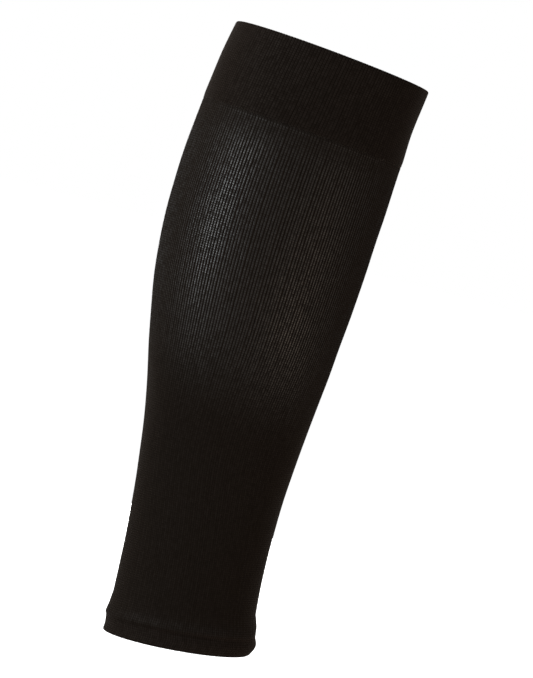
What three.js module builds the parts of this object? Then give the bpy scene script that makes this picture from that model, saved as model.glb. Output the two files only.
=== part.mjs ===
// Calf compression sleeve: one seamless knitted tube, in the shape that it takes on a lower leg.
// It is open at both ends. From the ankle up it has a narrow turned hem, a dense ankle panel, a ribbed
// calf panel and a broad turned cuff. The hem and the cuff are welts, knit folded double, so they are
// thicker than the panels.
//
// Frame: millimetres, +Z up the leg, +X to the shin and -X to the calf. The origin is the middle of the
// ankle opening.
import * as THREE from "three";

// Driving dimensions, in millimetres.
const SLEEVE_LENGTH = 342; // ankle rim to knee rim, up the middle of the leg
const HEM_HEIGHT = 11;
const ANKLE_PANEL_TOP = 156; // where the dense knit of the ankle gives way to the calf's ribs
const CUFF_HEIGHT = 46;
const PANEL_THICKNESS = 1.0; // one layer of knit
const WELT_THICKNESS = 2.2; // two layers, folded over at the rim
const WELT_PROUD = 0.4; // how far a welt stands out past its panel
const PIECE_GAP = 0.3; // between neighbouring pieces

// How finely the walls are drawn.
const SEGMENTS_ROUND = 60;
const ROW_HEIGHT = 13;
const FOLD_STEPS = 6;

// The panels' outer surface, at sections up the leg. Heights are taken on the Z axis. back and front reach
// from that axis to the calf and to the shin, and side is half the width across the leg. lean tips a section
// so that its back is higher, in degrees. A positive back_fullness makes it fuller behind than in front.
const COLUMNS = ["back", "front", "side", "lean", "back_fullness"];
const SECTIONS = [
  { height: 0, back: 44.4, front: 38.8, side: 37.5, lean: -4.3, back_fullness: -0.03 },
  { height: 5, back: 44.1, front: 41.2, side: 37.3, lean: -4.9, back_fullness: -0.03 },
  { height: 11, back: 45.0, front: 39.7, side: 37.0, lean: -5.0, back_fullness: -0.04 },
  { height: 16, back: 45.0, front: 39.3, side: 36.6, lean: -4.8, back_fullness: -0.04 },
  { height: 23, back: 44.5, front: 37.2, side: 36.0, lean: -4.5, back_fullness: -0.05 },
  { height: 30, back: 44.7, front: 36.6, side: 35.3, lean: -4.3, back_fullness: -0.05 },
  { height: 60, back: 46.0, front: 35.5, side: 34.5, lean: -3.2, back_fullness: -0.05 },
  { height: 95, back: 49.1, front: 36.3, side: 36.0, lean: -2.1, back_fullness: -0.02 },
  { height: 130, back: 53.9, front: 39.3, side: 41.0, lean: -0.9, back_fullness: 0.03 },
  { height: 165, back: 61.3, front: 42.9, side: 47.3, lean: 0.3, back_fullness: 0.07 },
  { height: 200, back: 67.4, front: 46.2, side: 52.7, lean: 1.5, back_fullness: 0.1 },
  { height: 235, back: 69.6, front: 48.8, side: 55.8, lean: 2.7, back_fullness: 0.11 },
  { height: 265, back: 68.3, front: 50.6, side: 56.6, lean: 3.7, back_fullness: 0.1 },
  { height: 295, back: 65.1, front: 52.3, side: 56.0, lean: 4.8, back_fullness: 0.08 },
  { height: 318, back: 61.8, front: 53.4, side: 55.2, lean: 5.5, back_fullness: 0.06 },
  { height: SLEEVE_LENGTH, back: 57.3, front: 56.6, side: 55.8, lean: 5.7, back_fullness: 0.04 },
];

const sectionAt = new THREE.CubicInterpolant(
  SECTIONS.map((section) => section.height),
  SECTIONS.flatMap((section) => COLUMNS.map((column) => section[column])),
  COLUMNS.length,
);

// The point at a height and an angle round the leg, counted from the shin, inset under the panels' surface.
function legPoint(height, angle, inset) {
  const [back, front, side, lean, backFullness] = sectionAt.evaluate(height);
  const middle = (front - back) / 2;
  const halfDepth = (front + back) / 2 - inset;
  const x = middle + halfDepth * Math.cos(angle);
  const y = (side - inset) * Math.sin(angle) * (1 - backFullness * Math.cos(angle));
  const z = height - x * Math.tan(THREE.MathUtils.degToRad(lean));
  return new THREE.Vector3(x, y, z);
}

// A wall round the leg. Its outline is a closed loop of points, each with a height and an inset under the
// panels' surface. The outline is turned on a lathe at a nominal radius, and each point then goes to its
// place on the leg.
const LATHE_RADIUS = 50;

function wallRoundLeg(outline) {
  const profile = outline.map(({ inset, height }) => new THREE.Vector2(LATHE_RADIUS - inset, height));
  const geometry = new THREE.LatheGeometry([...profile, profile[0]], SEGMENTS_ROUND);
  const position = geometry.getAttribute("position");
  for (let i = 0; i < position.count; i++) {
    const turned = new THREE.Vector3().fromBufferAttribute(position, i);
    const angle = Math.atan2(turned.x, turned.z);
    const inset = LATHE_RADIUS - Math.hypot(turned.x, turned.z);
    const { x, y, z } = legPoint(turned.y, angle, inset);
    position.setXYZ(i, x, y, z);
  }
  geometry.computeVertexNormals();
  return geometry;
}

// Points at one inset from one height to another, about a row apart and at least two rows.
function wallLine(inset, fromHeight, toHeight) {
  const rows = Math.max(2, Math.round(Math.abs(toHeight - fromHeight) / ROW_HEIGHT));
  return Array.from({ length: rows + 1 }, (_, row) => ({
    inset,
    height: THREE.MathUtils.lerp(fromHeight, toHeight, row / rows),
  }));
}

// One layer of knit between two heights.
function panelOutline(low, high) {
  return [...wallLine(0, low, high), ...wallLine(PANEL_THICKNESS, high, low)];
}

// Knit folded double. The fold is round the rim, and both layers end where the welt joins its panel.
function weltOutline(joinHeight, rimHeight) {
  const radius = WELT_THICKNESS / 2;
  const outerInset = -WELT_PROUD;
  const innerInset = WELT_THICKNESS - WELT_PROUD;
  const towardRim = Math.sign(rimHeight - joinHeight);
  const foldHeight = rimHeight - towardRim * radius;
  const fold = Array.from({ length: FOLD_STEPS - 1 }, (_, step) => {
    const turn = (Math.PI * (step + 1)) / FOLD_STEPS;
    return {
      inset: outerInset + radius * (1 - Math.cos(turn)),
      height: foldHeight + towardRim * radius * Math.sin(turn),
    };
  });
  const outline = [
    ...wallLine(outerInset, joinHeight, foldHeight),
    ...fold,
    ...wallLine(innerInset, foldHeight, joinHeight),
  ];
  return towardRim > 0 ? outline : outline.reverse();
}

function knitPiece(name, outline, color, roughness) {
  const material = new THREE.MeshStandardMaterial({ color, roughness, metalness: 0 });
  const piece = new THREE.Mesh(wallRoundLeg(outline), material);
  piece.name = name;
  return piece;
}

const cuffJoin = SLEEVE_LENGTH - CUFF_HEIGHT;
const clear = PIECE_GAP / 2;

const sleeve = new THREE.Group();
sleeve.add(
  knitPiece("ankle_hem", weltOutline(HEM_HEIGHT - clear, 0), 0x17120f, 0.85),
  knitPiece("ankle_panel", panelOutline(HEM_HEIGHT + clear, ANKLE_PANEL_TOP - clear), 0x17120f, 0.8),
  knitPiece("calf_panel", panelOutline(ANKLE_PANEL_TOP + clear, cuffJoin - clear), 0x1f1d1b, 0.55),
  knitPiece("top_cuff", weltOutline(cuffJoin + clear, SLEEVE_LENGTH), 0x1a1512, 0.8),
);

export default sleeve;
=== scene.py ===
# %% [markdown]
# # A knitted calf sleeve
# This sleeve is one seamless tube from a circular knitting machine, in black nylon and elastane. From the
# ankle up it has a narrow turned hem, a dense ankle, a ribbed calf and a broad turned cuff. The solid
# model holds its shape on a leg, as plain walls. This lesson knits those walls: every column of stitches
# is a raised ridge in the mesh, and the single stitches are bump in the materials.

# %% Load the solid model
import math

import bmesh
import bpy
import numpy as np
from mathutils import Matrix, Vector


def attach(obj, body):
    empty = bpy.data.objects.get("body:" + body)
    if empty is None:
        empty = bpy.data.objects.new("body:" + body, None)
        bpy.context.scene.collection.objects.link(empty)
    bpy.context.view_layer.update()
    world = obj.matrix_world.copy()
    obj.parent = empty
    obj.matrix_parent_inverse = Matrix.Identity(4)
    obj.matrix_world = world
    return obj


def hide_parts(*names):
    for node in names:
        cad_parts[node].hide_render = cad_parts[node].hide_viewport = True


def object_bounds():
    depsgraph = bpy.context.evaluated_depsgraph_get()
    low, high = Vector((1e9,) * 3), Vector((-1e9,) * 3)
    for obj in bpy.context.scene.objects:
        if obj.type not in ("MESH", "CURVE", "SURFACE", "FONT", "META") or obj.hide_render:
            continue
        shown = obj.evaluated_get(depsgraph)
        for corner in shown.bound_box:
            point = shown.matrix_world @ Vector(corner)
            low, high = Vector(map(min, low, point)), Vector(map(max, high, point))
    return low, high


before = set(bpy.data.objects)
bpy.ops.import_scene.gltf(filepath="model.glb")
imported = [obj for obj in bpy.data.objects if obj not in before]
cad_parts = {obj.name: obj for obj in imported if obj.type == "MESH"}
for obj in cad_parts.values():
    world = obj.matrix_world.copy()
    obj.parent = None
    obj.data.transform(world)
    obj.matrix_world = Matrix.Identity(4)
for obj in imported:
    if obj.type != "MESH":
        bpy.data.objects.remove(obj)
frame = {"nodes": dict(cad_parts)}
cad_low, cad_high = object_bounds()
MM = 0.001  # sizes of the knit below are in millimetres, and Blender's lengths are in metres
print("solids:", ", ".join(frame["nodes"]))
print("box of the solids, mm:", [round(side / MM, 1) for side in cad_high - cad_low])

# %% [markdown]
# ## The camera
# The photograph was taken from the side of the leg, a little above the calf, with a long lens from about
# two metres. The sleeve leans to the right in the picture. The leg could be tilted to match, but it stays
# upright here and the camera is rolled instead, so the solid model keeps its own axes.

# %% Camera
CAMERA_DISTANCE = 1800 * MM
CAMERA_HEIGHT = 248.5 * MM
AIM = Vector((3.6 * MM, 0, 178.8 * MM))
CAMERA_ROLL = math.radians(14.62)
LENS = 169.5  # millimetres, for the sensor below
SENSOR = 36  # millimetres, along the picture's long side

camera = bpy.data.objects.new("camera", bpy.data.cameras.new("camera"))
bpy.context.collection.objects.link(camera)
camera.data.lens = LENS
camera.data.sensor_width = SENSOR
camera.location = (AIM.x, -CAMERA_DISTANCE, CAMERA_HEIGHT)
look = (AIM - camera.location).to_track_quat("-Z", "Y").to_matrix()
camera.rotation_euler = (look @ Matrix.Rotation(CAMERA_ROLL, 3, "Z")).to_euler()
bpy.context.scene.camera = camera
print("camera", round(CAMERA_DISTANCE, 2), "m away, rolled", round(math.degrees(CAMERA_ROLL), 1), "degrees")

# %% [markdown]
# ## Colours and shader nodes
# Colours are written as the sRGB hex values that a colour picker shows. Shaders work in linear light, so
# one function converts them. The Standard view transform keeps the near-black yarn as dark as it is
# written. By hand, a shader is clicked together in the node editor. Here one helper adds a node, sets it
# and links it.

# %% One function for colours and one for nodes
bpy.context.scene.view_settings.view_transform = "Standard"


def linear(hex_colour):
    """An sRGB hex colour as linear RGBA."""
    parts = [int(hex_colour[i:i + 2], 16) / 255 for i in (1, 3, 5)]
    return (*[p / 12.92 if p <= 0.04045 else ((p + 0.055) / 1.055) ** 2.4 for p in parts], 1.0)


def add_node(tree, kind, inputs=None, **settings):
    """A new node. An input is a plain value, an output, or a node, which gives its first output."""
    node = tree.nodes.new(kind)
    for name, value in settings.items():
        setattr(node, name, value)
    for socket, value in (inputs or {}).items():
        if isinstance(value, bpy.types.Node):
            value = value.outputs[0]
        if isinstance(value, bpy.types.NodeSocket):
            tree.links.new(value, node.inputs[socket])
        else:
            node.inputs[socket].default_value = value
    return node


print("middle grey in linear light:", round(linear("#808080")[0], 3))

# %% [markdown]
# ## Floor and room
# A worn sleeve's hem is about a hand above the ground, so the floor lies that far below it. In the
# picture the floor and the background are one plain white. A room as white as that would turn black yarn
# grey. So the world has two strengths: the camera sees white, and the yarn sees a much dimmer room. For
# the same reason the floor glows by itself and throws neither light nor shadow on the yarn.

# %% White floor
FLOOR_DROP = 90 * MM
FLOOR_SIZE = 60.0  # metres, so that no edge of it is in the picture
PAPER_ROUGHNESS = 0.9
PAPER_GLOW = 0.9

bpy.ops.object.select_all(action="DESELECT")
bpy.ops.mesh.primitive_plane_add(size=FLOOR_SIZE, location=(0, 0, cad_low.z - FLOOR_DROP))
floor = bpy.context.object
floor.name = "floor"
floor.visible_diffuse = False
floor.visible_glossy = False
floor.visible_shadow = False  # so that it doesn't cut off the lights that stand below it
paper = bpy.data.materials.new("white_paper")  # matt, and bright enough to run into the background
paper.use_nodes = True
paper_shader = paper.node_tree.nodes["Principled BSDF"]
paper_shader.inputs["Base Color"].default_value = linear("#f4f4f4")
paper_shader.inputs["Roughness"].default_value = PAPER_ROUGHNESS
paper_shader.inputs["Emission Color"].default_value = linear("#ffffff")
paper_shader.inputs["Emission Strength"].default_value = PAPER_GLOW
floor.data.materials.append(paper)
print("floor at", round(floor.location.z, 3), "m")

# %% Dim room behind a white backdrop
ROOM_LIGHT = 0.128  # the room that the yarn sees, where the backdrop that the camera sees is 1

world = bpy.data.worlds.new("studio")
bpy.context.scene.world = world
world.use_nodes = True
studio = world.node_tree
studio.nodes.clear()
camera_ray = add_node(studio, "ShaderNodeLightPath").outputs["Is Camera Ray"]
room = add_node(studio, "ShaderNodeBackground", {"Color": linear("#ffffff"), "Strength": ROOM_LIGHT})
backdrop = add_node(studio, "ShaderNodeBackground", {"Color": linear("#ffffff"), "Strength": 1.0})
either = add_node(studio, "ShaderNodeMixShader", {0: camera_ray, 1: room, 2: backdrop})
add_node(studio, "ShaderNodeOutputWorld", {"Surface": either})
print("room light:", ROOM_LIGHT, "of the backdrop")

# %% [markdown]
# ## Soft boxes
# Black knit shows its form only where it mirrors a light. One large box would be simpler, but this calf
# has one long sheen, a warm glow low on the shin's side, and outlines that are a little lighter than the
# middle. So each box does one of these jobs: a narrow key that leans along the calf, weak boxes low on
# the right, and boxes behind that draw the outlines.

# %% Seven soft boxes
MID_CALF = Vector((-10 * MM, 0, 230 * MM))


def soft_box(name, bearing, rise, distance, width, height, watts, lean=0.0, colour="#ffffff"):
    """An area light that faces the calf. Lengths are in metres.

    bearing is counted to the left of the camera and rise upwards, in degrees. A light that leans has its
    top nearer the camera.
    """
    light = bpy.data.lights.new(name, "AREA")
    light.shape = "RECTANGLE"
    light.size = width
    light.size_y = height
    light.energy = watts
    light.color = linear(colour)[:3]
    box = bpy.data.objects.new(name, light)
    bpy.context.collection.objects.link(box)
    round_calf = math.radians(bearing)
    upward = math.radians(rise)
    level = math.cos(upward)
    way = Vector((-math.sin(round_calf) * level, -math.cos(round_calf) * level, math.sin(upward)))
    box.location = MID_CALF + way * distance
    turn = way.to_track_quat("Z", "Y").to_matrix() @ Matrix.Rotation(-math.radians(lean), 3, "Z")
    box.rotation_euler = turn.to_euler()


soft_box("key_left", 50.5, -1, 1.4, 0.32, 0.74, 5.75, lean=25, colour="#f7fdff")  # the long sheen
soft_box("fill_low", -58, -18, 1.6, 1.0, 0.4, 1.6, colour="#ffe2c4")  # the warm side next to the shin
soft_box("bounce_right", -84, -45, 1.6, 0.9, 0.7, 3.7, colour="#fff0e0")  # light that comes up from a floor
soft_box("edge_left", 135, -8, 1.4, 0.8, 1.2, 1.75, colour="#f3fbff")  # the outline of the calf
soft_box("edge_top", 110, 40, 1.4, 0.6, 0.6, 4.0)  # the outline of the cuff, from above
soft_box("top_front", 5, 66, 1.5, 1.0, 0.6, 0.8)  # a little light on all that faces up
soft_box("rear", 176, 6, 1.6, 0.4, 1.0, 12.0)  # a thin line along both outlines

# %% [markdown]
# ## The leg
# Worn, the sleeve has the shape of a leg, and every piece of knit lies on the same one. It could be
# sculpted, but then each piece would have to be fitted to it by eye. Here the shape is one function. The
# table gives a few sections up the leg, as the solid model has them: how far the calf and the shin reach
# from the Z axis, half the width across, the lean of the section and how much fuller it is behind. A
# smooth curve through each column gives every section between them.

# %% Sections of the leg
LEG = np.array(
    [
        (0, 44.4, 38.8, 37.5, -4.3, -0.03),
        (5, 44.1, 41.2, 37.3, -4.9, -0.03),
        (11, 45.0, 39.7, 37.0, -5.0, -0.04),
        (16, 45.0, 39.3, 36.6, -4.8, -0.04),
        (23, 44.5, 37.2, 36.0, -4.5, -0.05),
        (30, 44.7, 36.6, 35.3, -4.3, -0.05),
        (60, 46.0, 35.5, 34.5, -3.2, -0.05),
        (95, 49.1, 36.3, 36.0, -2.1, -0.02),
        (130, 53.9, 39.3, 41.0, -0.9, 0.03),
        (165, 61.3, 42.9, 47.3, 0.3, 0.07),
        (200, 67.4, 46.2, 52.7, 1.5, 0.1),
        (235, 69.6, 48.8, 55.8, 2.7, 0.11),
        (265, 68.3, 50.6, 56.6, 3.7, 0.1),
        (295, 65.1, 52.3, 56.0, 4.8, 0.08),
        (318, 61.8, 53.4, 55.2, 5.5, 0.06),
        (342, 57.3, 56.6, 55.8, 5.7, 0.04),
    ],
    dtype=[(column, float) for column in ("height", "back", "front", "side", "lean", "back_fullness")],
)


def leg_column(column, height):
    """One column of the table at any heights, on a smooth curve through its rows."""
    rows = LEG["height"]
    values = LEG[column]
    slopes = np.gradient(values, rows)
    i = np.clip(np.searchsorted(rows, height) - 1, 0, len(rows) - 2)
    span = rows[i + 1] - rows[i]
    t = (height - rows[i]) / span
    blend = t * t * (3 - 2 * t)
    lead = t * (1 - t) ** 2 * slopes[i] - t * t * (1 - t) * slopes[i + 1]
    return values[i] + blend * (values[i + 1] - values[i]) + span * lead


print(len(LEG), "sections, deepest at the calf:", round((LEG["back"] + LEG["front"]).max(), 1), "mm")

# %% Points on the leg
FULL_CALF = 240  # a height where the calf is full
SLIM_ANKLE = 60
GIRTH_STEPS = 360


def leg_point(height, angle, inset):
    """Points on the leg, in metres: at a height, at an angle from the shin, and inset under the surface."""
    back = leg_column("back", height)
    front = leg_column("front", height)
    side = leg_column("side", height) - inset
    x = (front - back) / 2 + ((front + back) / 2 - inset) * np.cos(angle)
    y = side * np.sin(angle) * (1 - leg_column("back_fullness", height) * np.cos(angle))
    z = height - x * np.tan(np.radians(leg_column("lean", height)))
    return np.stack([x, y, z], axis=-1) * MM


def steps_round(height, count):
    """Angles all round the leg at a height, and the length of each step between them, in metres."""
    angle = np.linspace(0, 2 * np.pi, count + 1)
    loop = leg_point(np.full(count + 1, float(height)), angle, 0.0)
    return angle, np.linalg.norm(np.diff(loop, axis=0), axis=1)


def girth(height):
    """The length round the leg at a height, in metres."""
    angle, steps = steps_round(height, GIRTH_STEPS)
    return float(steps.sum())


print("girth of calf and ankle, mm:", round(girth(FULL_CALF) / MM), round(girth(SLIM_ANKLE) / MM))

# %% [markdown]
# ## Sections of knit
# The machine knits the whole sleeve in one go and changes the stitch on the way, so nothing is sewn. The
# heights where one section meets the next are those of the solid model. A sharp change would look like a
# seam, so two small curves make every change below a soft one.

# %% Heights and soft changes
HEM_TOP = 11
ANKLE_PANEL_TOP = 156
CUFF_JOIN = 296
SLEEVE_TOP = 342


def smooth_step(low, high, value):
    """0 below low, 1 above high and a soft change between them."""
    t = np.clip((value - low) / (high - low), 0, 1)
    return t * t * (3 - 2 * t)


def bell(value, middle, width):
    """1 at the middle, and soft to 0 on both sides."""
    return np.exp(-((value - middle) / width) ** 2)


print("hem, ankle, calf and cuff, mm:", np.diff([0, HEM_TOP, ANKLE_PANEL_TOP, CUFF_JOIN, SLEEVE_TOP]))

# %% [markdown]
# ## Wales
# Knitters call a column of stitches a wale and a row of stitches a course. Counted on the photograph,
# about 200 wales go round this leg. A wale is a soft ridge with a narrow groove on each side. A texture
# could fake it, but the ridges catch the light one by one here, so they are real: each wale gets six
# columns of vertices. In real knit no two wales are quite alike, so a seeded draw varies their depth and
# shifts their crests a little.

# %% Ridges and grooves
WALES = 200
POINTS = 6
COLUMNS = WALES * POINTS
GROOVE_WIDTH = 0.22  # from the middle of a groove to the flat of the crest, as a share of a wale
CROWN = 0.06  # how much the crest itself is rounded, as a share of the groove's depth
DEPTH_SPREAD = 0.14  # how much the wales differ in depth, as a share of it
DEPTH_LIMIT = 0.3
SHIFT_SPREAD = 0.05  # how far their crests are off their places, as a share of a wale
SHIFT_LIMIT = 0.1
COLUMN_STEPS = 720  # round the calf, to find the places of the columns

draw = np.random.default_rng(11)
wale_depth = 1 + draw.normal(0, DEPTH_SPREAD, WALES).clip(-DEPTH_LIMIT, DEPTH_LIMIT)
wale_shift = draw.normal(0, SHIFT_SPREAD, WALES).clip(-SHIFT_LIMIT, SHIFT_LIMIT)


def groove(column):
    """How far each column lies down its wale's side, from 0 on the crest to 1 in the groove."""
    from_groove = 0.5 - np.abs((column % POINTS) / POINTS - 0.5)
    return 1 - (1 - CROWN) * smooth_step(0, GROOVE_WIDTH, from_groove) - CROWN * np.sin(np.pi * from_groove)


def round_leg(column):
    """The angle of a column. Columns are the same distance apart round the calf."""
    angle, steps = steps_round(FULL_CALF, COLUMN_STEPS)
    way = np.concatenate([[0], np.cumsum(steps)])
    return np.interp(column / COLUMNS, way / way[-1], angle)


print(WALES, "wales of", round(girth(FULL_CALF) / WALES / MM, 2), "mm at the calf")

# %% [markdown]
# ## The way the wales run
# Wales that ran straight up would look drawn with a ruler. On a leg the knit turns a little as it is
# pulled on: between calf and ankle the wales bow towards the calf, and in the cuff they slant just above
# its join and then straighten. Turning each ring of the tube by its own angle gives both.

# %% Turn of the wales
TWIST = math.radians(0.008)  # for each millimetre up the leg
BOW = math.radians(8.7)
BOW_HEIGHT = 115
BOW_REACH = 50
CUFF_SLANT = math.radians(1.9)
CUFF_EASE = 12  # the height over which the cuff's wales straighten


def wale_turn(height):
    """How far the wales have turned round the leg at a height, in radians."""
    cuff = np.where(height >= CUFF_JOIN, CUFF_SLANT * np.exp(-(height - CUFF_JOIN) / CUFF_EASE), 0)
    return TWIST * (height - FULL_CALF) - BOW * bell(height, BOW_HEIGHT, BOW_REACH) - cuff


for height in (SLIM_ANKLE, BOW_HEIGHT, FULL_CALF):
    print("turn at", height, "mm:", round(math.degrees(wale_turn(height)), 2), "degrees")

# %% [markdown]
# ## Open and dense knit
# The calf is an open rib with deep grooves. Towards the ankle the machine knits tighter, and the ribs
# close up over about seven centimetres, lower at the shin than at the calf. Under the cuff the first two
# centimetres are tight as well, but for one row of larger stitches, and over the hem the stitches are
# drawn open. Two looks side by side would show a line where they meet. So one number says how open the
# knit is at each place, and both the relief and the materials follow it.

# %% How open the knit is
RIBS_GONE = 122  # the height at which the last of a rib is lost, at the side of the leg
RIBS_FULL = 194
RIB_SLANT = 8  # how much lower the ribs end at the shin, and higher at the calf, than at the side
CUFF_OPEN = 0.1  # at the cuff's join
FIRST_GAIN = 0.35  # over the first courses under the cuff
FIRST_COURSES = 2
TIGHT_FROM = 4  # the tight courses under the cuff open up between these two depths
TIGHT_TO = 20
FIRST_ROW = 1.6  # how far the row of larger stitches is below the cuff
FIRST_ROW_OPEN = 0.25
FIRST_ROW_WIDTH = 0.6
DRAWN_OPEN = 0.25  # over the hem
DRAWN_HEIGHT = HEM_TOP + 2.6
DRAWN_WIDTH = 3.2
WELT_OPEN = 0.1


def opened(height, angle):
    """How open the knit of the panels is, from 0 in the dense ankle to 1 in the calf's ribs."""
    below = CUFF_JOIN - height
    rest = 1 - CUFF_OPEN - FIRST_GAIN
    under_cuff = CUFF_OPEN + FIRST_GAIN * smooth_step(0, FIRST_COURSES, below)
    under_cuff = under_cuff + rest * smooth_step(TIGHT_FROM, TIGHT_TO, below)
    first_row = FIRST_ROW_OPEN * bell(below, FIRST_ROW, FIRST_ROW_WIDTH)
    ribs = smooth_step(RIBS_GONE, RIBS_FULL, height + RIB_SLANT * np.cos(angle))
    return ribs * (under_cuff + first_row) + DRAWN_OPEN * bell(height, DRAWN_HEIGHT, DRAWN_WIDTH)


for height in (SLIM_ANKLE, ANKLE_PANEL_TOP, FULL_CALF, CUFF_JOIN):
    print("open at", height, "mm:", round(float(opened(height, np.pi / 2)), 2))

# %% [markdown]
# ## Crease and roll at the hem
# The hem is double and holds tighter than the single cloth above it. So the cloth rolls out over the
# hem's upper edge, and a crease runs under the roll. A cloth simulation could find such a fold, but
# stretched knit has no slack to fall. Two bell curves up the leg give the same form, steep towards each
# other and gentle away.

# %% Crease and roll
CREASE_HEIGHT = HEM_TOP - 1.7
CREASE_DEPTH = 1.1
CREASE_WIDTH = 1.7  # upwards, into the roll
CREASE_EASE = 3.2  # downwards, out to the hem
CREASE_MIDDLE = 78  # degrees from the shin, where the crease is deepest
CREASE_REACH = 48
ROLL_HEIGHT = 1.3
ROLL_WIDTH = 3.6  # upwards, out to the ankle
ROLL_UNDER = 1.2  # downwards, into the crease
ROLL_PLACES = (0, 50, 110, 180)  # degrees from the shin
ROLL_SHARES = (0.2, 1.0, 1.0, 0.55)


def crease(height):
    """How far the cloth is drawn in under the roll, in millimetres."""
    width = np.where(height > CREASE_HEIGHT, CREASE_WIDTH, CREASE_EASE)
    return CREASE_DEPTH * bell(height, CREASE_HEIGHT, width)


def roll(height):
    """How far the cloth rolls out over the hem's upper edge, in millimetres."""
    return ROLL_HEIGHT * bell(height, HEM_TOP, np.where(height > HEM_TOP, ROLL_WIDTH, ROLL_UNDER))


def from_shin(angle):
    """How far round the leg a place is from the shin, either way, in degrees."""
    return np.degrees(np.abs(np.arctan2(np.sin(angle), np.cos(angle))))


def crease_share(angle):
    """How strong the crease is round the leg: most at the sides, and lost at the calf."""
    return bell(from_shin(angle), CREASE_MIDDLE, CREASE_REACH)


def roll_share(angle):
    """How full the roll is round the leg: most at the sides, and least at the shin."""
    return np.interp(from_shin(angle), ROLL_PLACES, ROLL_SHARES)


step = roll(HEM_TOP) - crease(HEM_TOP) + crease(CREASE_HEIGHT) - roll(CREASE_HEIGHT)
print("from the roll down into the crease, mm:", round(float(step), 2))

# %% [markdown]
# ## Slight unevenness
# Cloth on a leg is never a perfect surface, and its sheen shows it. Noise on every vertex would look like
# grit. A sum of a few long waves round and up the leg, drawn with the same seed, gives a soft unevenness
# instead.

# %% Ripples
RIPPLES = 9
RIPPLE_HEIGHT = 0.02  # millimetres for each wave
FEWEST_TURNS = 3  # waves round the leg
MOST_TURNS = 15
SHORTEST_WAVE = 25  # millimetres up the leg
LONGEST_WAVE = 70

ripple_waves = np.stack([
    draw.integers(FEWEST_TURNS, MOST_TURNS, RIPPLES),
    2 * np.pi / draw.uniform(SHORTEST_WAVE, LONGEST_WAVE, RIPPLES),
    draw.uniform(0, 2 * np.pi, RIPPLES),
], axis=-1)


def ripple(angle, height):
    """The slight unevenness of cloth on a leg, as an inset in millimetres."""
    waves = [np.sin(turns * angle + rise * height + start) for turns, rise, start in ripple_waves]
    return RIPPLE_HEIGHT * np.sum(waves, axis=0)


print(RIPPLES, "waves, together at most", round(RIPPLES * RIPPLE_HEIGHT, 2), "mm")

# %% [markdown]
# ## A plain tube
# A tube of knit starts as a cylinder with no caps, as by hand. In edit mode its upright edges are
# selected and Subdivide cuts them into rings. The start is one metre high, so a vertex's height says
# which ring it is on. A table then says where each ring goes.

# %% A cylinder cut into rings
START_RADIUS = 50 * MM
START_HEIGHT = 1.0


def plain_tube(name, rings):
    """An open cylinder with a column of vertices for each point of a wale, cut into rings."""
    bpy.ops.object.select_all(action="DESELECT")
    bpy.ops.mesh.primitive_cylinder_add(
        vertices=COLUMNS, radius=START_RADIUS, depth=START_HEIGHT, location=(0, 0, START_HEIGHT / 2),
        end_fill_type="NOTHING")
    tube = bpy.context.object
    tube.name = name
    tube.data.name = name
    bpy.ops.object.transform_apply(location=True)
    bpy.ops.object.mode_set(mode="EDIT")
    bpy.ops.mesh.select_mode(type="EDGE")
    bpy.ops.mesh.select_all(action="DESELECT")
    cage = bmesh.from_edit_mesh(tube.data)
    for edge in cage.edges:
        rise = abs(edge.verts[0].co.z - edge.verts[1].co.z)
        edge.select_set(rise > START_HEIGHT / 2)
    bmesh.update_edit_mesh(tube.data)
    bpy.ops.mesh.subdivide(number_cuts=rings - 2)
    bpy.ops.object.mode_set(mode="OBJECT")
    return tube


def ring_path(**columns):
    """The rings of a tube: where each lies, which way its outside faces, and the look of its knit."""
    names = ("height", "inset", "out_up", "out_round", "welt", "bead", "crease", "roll", "length")
    path = np.zeros(len(columns["height"]), dtype=[(name, float) for name in names])
    for name, values in columns.items():
        path[name] = values
    path["length"][1:] = np.cumsum(np.hypot(np.diff(path["height"]), np.diff(path["inset"])))
    return path


print("a ring has", COLUMNS, "vertices")

# %% [markdown]
# ## Drawn over the leg
# A real sleeve is pulled on, and each stitch finds its place on the leg. Shrinkwrap could press the tube
# on, but it wouldn't keep the wales in line. So every vertex is placed by its column and its ring: its
# angle from the wales, its height from the ring, and its inset from the groove, the crease, the roll and
# the ripples together.

# %% Place of every vertex
RIB_DEPTH = 0.29  # of the grooves in open rib
DENSE_DEPTH = 0.1
SUNK_DEPTH = 0.02  # how deep every second wale lies where the knit is dense


def draw_over_leg(column, row):
    """Where each vertex goes, in metres, and how open the knit is there. row holds its ring's values."""
    wale = column // POINTS
    crest = 1 - groove(column)
    angle = round_leg(column + POINTS * wale_shift[wale] * crest) + wale_turn(row["height"])
    open_knit = np.where(row["welt"] == 1, WELT_OPEN, opened(row["height"], angle))
    relief = DENSE_DEPTH + (RIB_DEPTH - DENSE_DEPTH) * open_knit
    sunk = SUNK_DEPTH * (1 - open_knit) * (1 - row["welt"]) * (wale % 2) * crest
    drop = relief * groove(column) * wale_depth[wale] + sunk - row["bead"] * crest
    inset = row["inset"] + drop * row["out_round"] + ripple(angle, row["height"])
    inset = inset + row["crease"] * crease_share(angle) - row["roll"] * roll_share(angle)
    return leg_point(row["height"] - drop * row["out_up"], angle, inset), open_knit


print("grooves are", DENSE_DEPTH, "to", RIB_DEPTH, "mm deep")

# %% [markdown]
# ## Laid out flat
# A pattern on cloth has to follow the threads, so each piece carries its own flat map. Unwrap would guess
# one. The columns and rings already are one: the map called knit counts wales across and millimetres
# along. A second map lays the outer and the inner wall out one above the other, for baking.

# %% Two flat maps
MARGIN = 0.01  # round each wall on the baking map
WALL_SHARE = 0.46  # of the map's height, for each wall
EDGE_PLACE = 0.48  # where the narrow faces that close the tube's ends go


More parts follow.
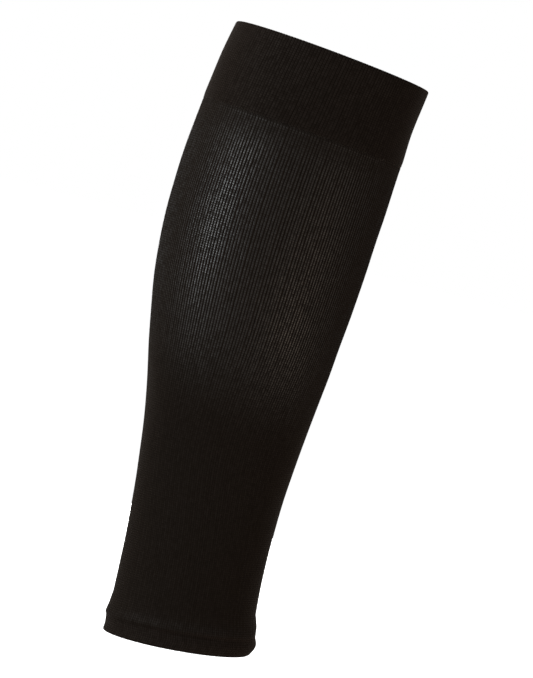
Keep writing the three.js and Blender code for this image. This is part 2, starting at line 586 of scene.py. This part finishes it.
def lay_flat(mesh, column, ring, length):
    """Two UV maps: knit counts wales and millimetres, and OFBake keeps all faces apart for baking."""
    corner = np.empty(len(mesh.loops), dtype=int)
    mesh.loops.foreach_get("vertex_index", corner)
    # Solidify adds the inner wall's vertices after the outer wall's, in the same order
    inner = (corner >= len(column)).astype(int)
    corner = corner % len(column)
    across = column[corner].reshape(-1, 4)
    seam = np.ptp(across, axis=1, keepdims=True) > COLUMNS / 2
    across = (across + COLUMNS * (seam & (across < COLUMNS / 2))).ravel()
    edge = np.repeat(np.ptp(inner.reshape(-1, 4), axis=1), 4) > 0
    along = length[ring[corner]] / length.max()
    half = np.where(edge, along > 0.5, inner) / 2
    up = np.where(edge, EDGE_PLACE + MARGIN * inner, MARGIN + WALL_SHARE * along) + half
    maps = {"knit": (across / POINTS, length[ring[corner]]), "OFBake": (across / COLUMNS, up)}
    for name, uv in maps.items():
        layer = mesh.uv_layers.new(name=name)
        layer.uv.foreach_set("vector", np.stack(uv, axis=-1).astype(np.float32).ravel())


print("each wall takes", WALL_SHARE, "of its map")

# %% [markdown]
# ## A knitted tube
# The steps come together here: a plain tube, drawn over the leg, with Solidify for the cloth's thickness
# on its inner side and the flat maps last. How open the knit is goes along as an attribute, for the
# materials. Grooves are soft, so they are shaded smooth, and only the cut ends stay sharp.

# %% Knit a tube
SHARPEST_SMOOTH = math.radians(80)  # sharper edges than this aren't shaded smooth


def knit(name, path, thickness):
    """A tube of knit. path has a row for each ring, and thickness is that of one layer, in millimetres."""
    tube = plain_tube(name, len(path))
    mesh = tube.data
    start = np.empty((len(mesh.vertices), 3))
    mesh.vertices.foreach_get("co", start.ravel())
    column = np.rint(np.arctan2(start[:, 1], start[:, 0]) / (2 * np.pi) * COLUMNS).astype(int) % COLUMNS
    ring = np.rint(start[:, 2] / START_HEIGHT * (len(path) - 1)).astype(int)
    points, open_knit = draw_over_leg(column, path[ring])
    mesh.vertices.foreach_set("co", points.ravel())
    openness = mesh.attributes.new("open_knit", "FLOAT", "POINT")
    openness.data.foreach_set("value", open_knit.astype(np.float32))
    wall = tube.modifiers.new("wall", "SOLIDIFY")
    wall.thickness = thickness * MM
    wall.offset = -1
    bpy.ops.object.modifier_apply(modifier="wall")
    bpy.ops.object.shade_smooth_by_angle(angle=SHARPEST_SMOOTH)
    lay_flat(mesh, column, ring, path["length"])
    print(name, len(mesh.polygons), "faces,", [round(side / MM, 1) for side in tube.dimensions], "mm")
    return tube


# %% [markdown]
# ## The panels
# The calf and the ankle are single cloth that lies straight on the leg, so a panel's rings only need
# heights. Rings lie closer together where the cloth changes fast: under the cuff, where a row of larger
# stitches stands out, and over the hem, where the cloth rolls out.

# %% Calf and ankle panels
PANEL_LAYER = 0.62
BEAD_HEIGHT = 0.15  # how far the row of larger stitches stands out
BEAD_WIDTH = 0.5
CLOSE_TO_CUFF = 284  # rings lie closer from here up to the cuff
CLOSE_TO_HEM = 18  # and from here down to the hem
CALF_RINGS = 25
CUFF_SIDE_RINGS = 14
ANKLE_RINGS = 27
HEM_SIDE_RINGS = 13


def panel_path(height):
    """The rings of a single layer that lies straight on the leg."""
    bead = BEAD_HEIGHT * bell(CUFF_JOIN - height, FIRST_ROW, BEAD_WIDTH)
    return ring_path(height=height, out_round=1, bead=bead, crease=crease(height), roll=roll(height))


calf_heights = np.concatenate([
    np.linspace(ANKLE_PANEL_TOP, CLOSE_TO_CUFF, CALF_RINGS)[:-1],
    np.linspace(CLOSE_TO_CUFF, CUFF_JOIN, CUFF_SIDE_RINGS),
])
ankle_heights = np.concatenate([
    HEM_TOP + (CLOSE_TO_HEM - HEM_TOP) * np.linspace(0, 1, HEM_SIDE_RINGS)[:-1] ** 2,
    np.linspace(CLOSE_TO_HEM, ANKLE_PANEL_TOP, ANKLE_RINGS),
])
calf_panel = knit("calf_panel_knit", panel_path(calf_heights), PANEL_LAYER)
ankle_panel = knit("ankle_panel_knit", panel_path(ankle_heights), PANEL_LAYER)

# %% [markdown]
# ## The welts
# The cuff and the hem are turned welts: the machine knits them twice as long, and the far half goes down
# inside the near half. Two tubes with a rim between them would show a join. So a welt is one tube, like a
# panel, whose rings go to the rim on the outside, round the fold and back on the inside. The cuff stands
# a little proud of the calf where they meet, and the hem runs on level from the ankle.

# %% Cuff and hem
WELT = 2.2  # the thickness of a fold
WELT_LAYER = 0.8
WELT_PROUD = 0.4  # how far a welt stands out from the leg's own shape
WELT_TAPER = 4  # the height over which it rises and its layers part
WELT_CLOSED = 0.6  # how much closer the inner layer lies to the outer one at the join
CUFF_RINGS = 20
HEM_RINGS = 12
FOLD_RINGS = 7
CROWDING = 1.5  # above 1, the rings lie closer near the join
CUFF_STEP = 0.5  # how much of its height a welt has where it joins the panel
HEM_STEP = 0.0


def welt_path(join, rim, rings, step):
    """The rings of a welt: from its join to its rim on the outside, round the fold, and back inside."""
    up = np.sign(rim - join)
    radius = WELT / 2
    fold = rim - up * radius
    turn = np.linspace(0, np.pi, FOLD_RINGS)
    outer = join + (fold - join) * np.linspace(0, 1, rings)[:-1] ** CROWDING
    inner = np.linspace(fold, join, rings // 2)[1:]
    height = np.concatenate([outer, fold + up * radius * np.sin(turn), inner])
    side = np.concatenate([np.ones(len(outer)), np.cos(turn), -np.ones(len(inner))])
    outside = side > 0
    taper = smooth_step(0, WELT_TAPER, np.abs(height - join))
    proud = WELT_PROUD * (step + (1 - step) * taper)
    lift = np.where(outside, proud, WELT_PROUD + WELT_CLOSED * (1 - taper))
    path = ring_path(
        height=height, inset=radius * (1 - side) - lift, out_up=up * np.sqrt(1 - side ** 2), out_round=side,
        welt=1, crease=crease(height) * outside, roll=roll(height) * outside)
    return path if up > 0 else path[::-1]


top_cuff = knit("top_cuff_knit", welt_path(CUFF_JOIN, SLEEVE_TOP, CUFF_RINGS, CUFF_STEP), WELT_LAYER)
ankle_hem = knit("ankle_hem_knit", welt_path(HEM_TOP, 0, HEM_RINGS, HEM_STEP), WELT_LAYER)

# %% [markdown]
# ## Stitches
# Each stitch of plain knit shows two legs of yarn that meet in a V. A picture of knit could be laid on,
# but it would repeat and slide across the wales. Here the V is worked out from the knit map, so it
# follows every wale. Where a value changes from dense to open knit, a Map Range node takes it from the
# first of a pair to the second.

# %% The form of a stitch
COURSE = 1.25  # millimetres from stitch to stitch along a wale, coarser than real so that they show
CREST = (0.3, 0.18)  # half the width of a wale's crest, dense and open, as a share of a wale
FLANK = 0.18  # the width of the flank beside it
BETWEEN_LEGS = (0.6, 0.95)  # the height between a stitch's two legs, dense and open
STITCH_LEG = 0.1  # how far a stitch's leg is from the middle of the crest
VEE = 1.1  # how far a leg slopes, in courses for each wale
BETWEEN_STITCHES = 0.45  # the height between a stitch and the next


def stitch_form(tree, wale, along, open_knit):
    """The yarn's height, from 0 in a groove to 1 on a leg, and which stitch of its wale a place is on."""
    across = add_node(tree, "ShaderNodeMath", {0: wale}, operation="FRACT")
    side = add_node(tree, "ShaderNodeMath", {0: across, 1: 0.5}, operation="SUBTRACT")
    off_crest = add_node(tree, "ShaderNodeMath", {0: side}, operation="ABSOLUTE")
    brow = add_node(tree, "ShaderNodeMapRange", {"Value": open_knit, "To Min": CREST[0], "To Max": CREST[1]})
    foot = add_node(tree, "ShaderNodeMath", {0: brow, 1: FLANK}, operation="ADD")
    crest = add_node(
        tree, "ShaderNodeMapRange",
        {"Value": off_crest, "From Min": brow, "From Max": foot, "To Min": 1.0, "To Max": 0.0},
        interpolation_type="SMOOTHSTEP")
    between = add_node(
        tree, "ShaderNodeMapRange",
        {"Value": open_knit, "To Min": BETWEEN_LEGS[0], "To Max": BETWEEN_LEGS[1]})
    legs = add_node(
        tree, "ShaderNodeMapRange", {"Value": off_crest, "From Max": STITCH_LEG, "To Min": between},
        interpolation_type="SMOOTHSTEP")
    course = add_node(tree, "ShaderNodeMath", {0: along, 1: 1 / COURSE}, operation="MULTIPLY")
    vee = add_node(tree, "ShaderNodeMath", {0: off_crest, 1: -VEE, 2: course}, operation="MULTIPLY_ADD")
    turn = add_node(tree, "ShaderNodeMath", {0: vee, 1: 2 * math.pi}, operation="MULTIPLY")
    wave = add_node(tree, "ShaderNodeMath", {0: turn}, operation="SINE")
    stitch = add_node(
        tree, "ShaderNodeMapRange", {"Value": wave, "From Min": -1.0, "To Min": BETWEEN_STITCHES})
    strand = add_node(tree, "ShaderNodeMath", {0: stitch, 1: legs}, operation="MULTIPLY")
    height = add_node(tree, "ShaderNodeMath", {0: crest, 1: strand}, operation="MULTIPLY")
    return height, vee


print(round(SLEEVE_TOP / COURSE), "courses are drawn from rim to rim")

# %% [markdown]
# ## Uneven yarn
# Textured yarn is never even. Its tone wanders along each wale, every stitch has its own, and where the
# knit is dense every second wale is turned back a little and looks darker. One noise texture over
# everything would cut across the wales, so the noise here reads the numbers of the wale and of the
# stitch.

# %% The tone of the yarn
SLUB = 7  # millimetres along a wale for one step of the wandering tone
SLUB_SCALE = 1.3
STITCH_SHARE = 0.8  # how much a stitch's own tone counts beside the wandering one
TONE_FROM = (0.4, 1.4)  # the two together, from dark to light
TONE_TO = (0.55, 1.2)


def yarn_tone(tree, wale, along, vee, open_knit, sunk_tone):
    """How light the yarn of each stitch is. sunk_tone is for every second wale of dense knit."""
    number = add_node(tree, "ShaderNodeMath", {0: wale}, operation="FLOOR")
    slow = add_node(tree, "ShaderNodeMath", {0: along, 1: 1 / SLUB}, operation="MULTIPLY")
    spot = add_node(tree, "ShaderNodeCombineXYZ", {0: number, 1: slow})
    slub = add_node(tree, "ShaderNodeTexNoise", {"Vector": spot, "Scale": SLUB_SCALE, "Detail": 1.0})
    each = add_node(tree, "ShaderNodeMath", {0: vee}, operation="FLOOR")
    one_stitch = add_node(tree, "ShaderNodeCombineXYZ", {0: number, 1: each})
    lot = add_node(tree, "ShaderNodeTexWhiteNoise", {"Vector": one_stitch}, noise_dimensions="2D")
    mixed = add_node(
        tree, "ShaderNodeMath", {0: lot.outputs["Value"], 1: STITCH_SHARE, 2: slub},
        operation="MULTIPLY_ADD")
    tone = add_node(
        tree, "ShaderNodeMapRange",
        {"Value": mixed, "From Min": TONE_FROM[0], "From Max": TONE_FROM[1],
         "To Min": TONE_TO[0], "To Max": TONE_TO[1]})
    second = add_node(tree, "ShaderNodeMath", {0: number, 1: 2.0}, operation="MODULO")
    dense = add_node(tree, "ShaderNodeMath", {0: 1.0, 1: open_knit}, operation="SUBTRACT")
    back = add_node(tree, "ShaderNodeMath", {0: second, 1: dense}, operation="MULTIPLY")
    turned = add_node(tree, "ShaderNodeMapRange", {"Value": back, "To Min": 1.0, "To Max": sunk_tone})
    return add_node(tree, "ShaderNodeMath", {0: tone, 1: turned}, operation="MULTIPLY")


print("tone from", TONE_TO[0], "to", TONE_TO[1])

# %% [markdown]
# ## Knitted nylon
# The yarn is textured nylon wound round elastane: black and a little warm. In the open rib its filaments
# lie side by side on each crest and give a satin sheen, which is lost where the knit turns away from the
# eye. In dense knit the loops point every way, so it is matt, with a faint fuzz. Grooves are dull, and their
# colour is darker: partly the darker elastane ground, partly painted shade in the hollows between the
# stitches. Four separate materials could be built by hand. They are one yarn, so one function makes
# them, and a table says how they differ.

# %% The finish of knitted nylon
NYLON_IOR = 1.53
# a groove's colour is darker partly from the elastane ground and partly from painted shade
OPEN_GROOVE_GROUND_AND_SHADE = 0.74  # the tone of a groove in open rib, as a share of the yarn's colour
GROOVE_ROUGHNESS = 0.95
FULL_HEIGHT = 0.8  # yarn as high as this is as smooth as it gets
ROUGHNESS = (0.75, 0.35)  # of the yarn, dense and open
SHINE = (0.1, 1.0)  # how much of the mirrored light is left, dense and open
FUZZ = (0.45, 0.05)  # loose fibre ends that catch light from the side, dense and open
FUZZ_ROUGHNESS = 0.3
FUZZ_TINT = "#fff0e4"
BUMP = (0.06 * MM, 0.04 * MM)  # the height of a stitch, dense and open
TURNING = (0.2, 0.5)  # the sheen fades between these two, where 0 faces the eye and 1 is the outline
TURNED_SHINE = 0.08


def knit_finish(name, yarn, groove_ground_and_shade, sunk_tone):
    """Knitted nylon. In dense knit, groove_ground_and_shade is the colour of the grooves, darker ground and
    painted shade together, and sunk_tone is for every second wale.
    """
    material = bpy.data.materials.new(name)
    material.use_nodes = True
    tree = material.node_tree
    shader = tree.nodes["Principled BSDF"]
    flat = add_node(tree, "ShaderNodeUVMap", uv_map="knit")
    place = add_node(tree, "ShaderNodeSeparateXYZ", {0: flat})
    wale = place.outputs["X"]
    along = place.outputs["Y"]
    open_knit = add_node(tree, "ShaderNodeAttribute", attribute_name="open_knit").outputs["Fac"]
    height, vee = stitch_form(tree, wale, along, open_knit)
    tone = yarn_tone(tree, wale, along, vee, open_knit, sunk_tone)
    lit = add_node(tree, "ShaderNodeMath", {0: height, 1: tone}, operation="MULTIPLY")

    # colour: from the tone of a groove up to that of the yarn. Low yarn is darker, partly the elastane
    # ground and partly painted shade, in the grooves and between the stitches
    floor_ground_and_shade = add_node(
        tree, "ShaderNodeMapRange", {"Value": open_knit, "To Min": groove_ground_and_shade, "To Max": OPEN_GROOVE_GROUND_AND_SHADE})
    shown = add_node(tree, "ShaderNodeMapRange", {"Value": lit, "To Min": floor_ground_and_shade})
    colour = add_node(
        tree, "ShaderNodeMix", {0: shown, 6: linear("#000000"), 7: linear(yarn)}, data_type="RGBA")
    tree.links.new(colour.outputs[2], shader.inputs["Base Color"])

    # sheen of the filaments: smoothest on the stitches of the open rib
    smooth = add_node(
        tree, "ShaderNodeMapRange", {"Value": open_knit, "To Min": ROUGHNESS[0], "To Max": ROUGHNESS[1]})
    rough = add_node(
        tree, "ShaderNodeMapRange",
        {"Value": lit, "From Max": FULL_HEIGHT, "To Min": GROOVE_ROUGHNESS, "To Max": smooth})
    shine = add_node(
        tree, "ShaderNodeMapRange", {"Value": open_knit, "To Min": SHINE[0], "To Max": SHINE[1]})
    facing = add_node(tree, "ShaderNodeLayerWeight", {"Blend": 0.5}).outputs["Facing"]
    fade = add_node(
        tree, "ShaderNodeMapRange",
        {"Value": facing, "From Min": TURNING[0], "From Max": TURNING[1],
         "To Min": 1.0, "To Max": TURNED_SHINE})
    seen = add_node(tree, "ShaderNodeMath", {0: shine, 1: fade}, operation="MULTIPLY")
    bright = add_node(tree, "ShaderNodeMath", {0: lit, 1: seen}, operation="MULTIPLY")
    tree.links.new(rough.outputs[0], shader.inputs["Roughness"])
    tree.links.new(bright.outputs[0], shader.inputs["Specular IOR Level"])
    shader.inputs["IOR"].default_value = NYLON_IOR

    # fuzz, and the relief of the stitches
    fuzz = add_node(tree, "ShaderNodeMapRange", {"Value": open_knit, "To Min": FUZZ[0], "To Max": FUZZ[1]})
    tree.links.new(fuzz.outputs[0], shader.inputs["Sheen Weight"])
    shader.inputs["Sheen Roughness"].default_value = FUZZ_ROUGHNESS
    shader.inputs["Sheen Tint"].default_value = linear(FUZZ_TINT)
    depth = add_node(tree, "ShaderNodeMapRange", {"Value": open_knit, "To Min": BUMP[0], "To Max": BUMP[1]})
    bump = add_node(tree, "ShaderNodeBump", {"Height": height, "Distance": depth, "Strength": 1.0})
    tree.links.new(bump.outputs[0], shader.inputs["Normal"])
    return material


finish = {
    # satin ridges with dark lines between them, the lines darker ground and painted shade
    "rib_knit": knit_finish("ribbed_nylon_knit", "#322a24", groove_ground_and_shade=0.55, sunk_tone=0.82),
    # matt, with a faint streak along every second wale
    "dense_knit": knit_finish("dense_nylon_knit", "#312923", groove_ground_and_shade=0.55, sunk_tone=0.82),
    # matt and a little lighter, with clear grooves between its wales, darkened by ground and painted shade
    "cuff_knit": knit_finish("cuff_nylon_knit", "#342b25", groove_ground_and_shade=0.4, sunk_tone=1.0),
    # the same cloth as the cuff, with softer painted shade and ground in its grooves
    "hem_knit": knit_finish("hem_nylon_knit", "#342b25", groove_ground_and_shade=0.5, sunk_tone=1.0),
}
print("materials:", [material.name for material in finish.values()])

# %% [markdown]
# ## The pieces on the body
# Each piece rides on the sleeve's one body, takes the place of its solid, which is hidden, and gets the
# material of its slot. All four are sheets of knit stretched on the leg. The table also gives each piece's
# middle and its length of cloth, flat as the tube slit open at its size off the leg, with both layers of a
# welt counted; nothing below reads these two.

PIECES = [
    # piece, solid, slot, height of its middle, length of cloth along the leg, mm
    (calf_panel, "calf_panel", "rib_knit", 225, 139),
    (ankle_panel, "ankle_panel", "dense_knit", 80, 146),
    (top_cuff, "top_cuff", "cuff_knit", 318, 92),
    (ankle_hem, "ankle_hem", "hem_knit", 5, 22),
]
for piece, solid, slot, middle, length in PIECES:
    piece.data.materials.append(finish[slot])
    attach(piece, "root")
    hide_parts(solid)
